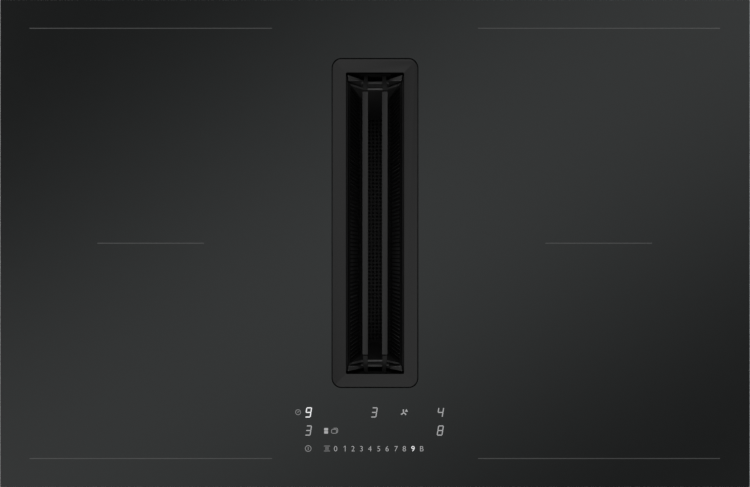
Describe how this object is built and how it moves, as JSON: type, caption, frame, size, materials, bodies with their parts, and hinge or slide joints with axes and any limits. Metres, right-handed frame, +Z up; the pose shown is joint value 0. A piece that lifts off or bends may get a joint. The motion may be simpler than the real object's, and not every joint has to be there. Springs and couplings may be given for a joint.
{
  "type": "downdraft induction cooktop",
  "caption": "Black glass induction cooktop with a central downdraft inlet, lift-out grille, grease filter and drip tray over a radial extractor fan with a rear duct outlet.",
  "frame": {"origin": "bottom centre of the bounding box, under the middle of the glass", "axes": "+X to the right edge and +Y to the rear edge as the cook sees it, +Z up"},
  "size_m": [0.8, 0.52, 0.2],
  "materials": {
    "glass_ceramic": "polished, opaque black",
    "seal_rubber": "matt",
    "sheet_steel": "zinc plated sheet",
    "black_plastic": "moulded, fine grain",
    "grille_black": "fine matt black coating",
    "filter_black": "matt black coating",
    "wire_mesh": "layers of expanded mesh",
    "fan_plastic": "moulded, satin",
    "motor_steel": "drawn and zinc plated",
    "stator_iron": "lamination stack",
    "bright_steel": "ground",
    "litz_wire": "enamelled copper",
    "carrier_plastic": "glass filled",
    "ferrite": "sintered, matt",
    "aluminium": "mill finish",
    "fibre_mat": "pressed fibre",
    "circuit_board": "solder resist",
    "light_guide": "white, satin",
    "terminal_plastic": "moulded"
  },
  "bodies": {
    "root": {"glass_top": "glass_ceramic", "sealing_strip": "seal_rubber", "hob_tray": "sheet_steel", "inlet_collar": "black_plastic", "collar_seal": "seal_rubber", "inlet_well": "black_plastic", "base_pan": "black_plastic", "case_upper": "black_plastic", "housing_screws": "bright_steel", "scroll_lower": "fan_plastic", "scroll_upper": "fan_plastic", "fan_inlet_ring": "fan_plastic", "motor_base": "aluminium", "motor_stator": "stator_iron", "motor_bearings": "bright_steel", "outlet_spigot": "black_plastic", "flap_pin": "bright_steel", "coil_rear_left": "litz_wire", "coil_front_left": "litz_wire", "coil_rear_right": "litz_wire", "coil_front_right": "litz_wire", "coil_carriers": "carrier_plastic", "ferrite_bars": "ferrite", "coil_plate_left": "aluminium", "coil_plate_right": "aluminium", "coil_mats": "fibre_mat", "temperature_sensors": "carrier_plastic", "power_boards": "circuit_board", "heatsinks": "aluminium", "cooling_fan_frames": "black_plastic", "touch_carrier": "black_plastic", "touch_board": "circuit_board", "light_guide": "light_guide", "mains_board": "circuit_board", "fan_board": "circuit_board", "terminal_box": "black_plastic", "terminal_lid": "black_plastic", "terminal_block": "terminal_plastic", "cable_gland": "black_plastic", "mounting_springs": "bright_steel"},
    "drip": {"drip_tray": "black_plastic"},
    "filter": {"filter_frame": "filter_black", "filter_liner": "filter_black", "louvre_left": "filter_black", "louvre_right": "filter_black", "mesh_left": "wire_mesh", "mesh_right": "wire_mesh", "filter_screen": "filter_black"},
    "grille": {"grille_bezel": "grille_black", "grille_carrier": "grille_black", "bar_left": "grille_black", "bar_right": "grille_black"},
    "fan_wheel": {"impeller": "fan_plastic", "motor_rotor": "motor_steel", "motor_shaft": "bright_steel"},
    "left_flap": {"flap_left": "fan_plastic"},
    "right_flap": {"flap_right": "fan_plastic"},
    "left_cooler": {"cooling_rotor_left": "black_plastic"},
    "right_cooler": {"cooling_rotor_right": "black_plastic"}
  },
  "joints": [
    {"name": "tray_lift", "type": "slide", "parent": "root", "child": "drip", "axis": [0, 0, 1], "range_m": [0, 0.17]},
    {"name": "filter_lift", "type": "slide", "parent": "drip", "child": "filter", "axis": [0, 0, 1], "range_m": [0, 0.15]},
    {"name": "grille_lift", "type": "slide", "parent": "filter", "child": "grille", "axis": [0, 0, 1], "range_m": [0, 0.06]},
    {"name": "fan_spin", "type": "hinge", "parent": "root", "child": "fan_wheel", "pos_m": [0.16137, -0.045, 0.03], "axis": [0, 0, 1], "continuous": true},
    {"name": "left_flap_hinge", "type": "hinge", "parent": "root", "child": "left_flap", "pos_m": [0.15388, 0.2428, 0.05], "axis": [0, 0, -1], "range_deg": [0, 70]},
    {"name": "right_flap_hinge", "type": "hinge", "parent": "root", "child": "right_flap", "pos_m": [0.15388, 0.2428, 0.05], "axis": [0, 0, 1], "range_deg": [0, 70]},
    {"name": "left_cooler_spin", "type": "hinge", "parent": "root", "child": "left_cooler", "pos_m": [-0.331, 0.15, 0.15], "axis": [0, 0, 1], "continuous": true},
    {"name": "right_cooler_spin", "type": "hinge", "parent": "root", "child": "right_cooler", "pos_m": [0.331, 0.15, 0.15], "axis": [0, 0, 1], "continuous": true}
  ]
}
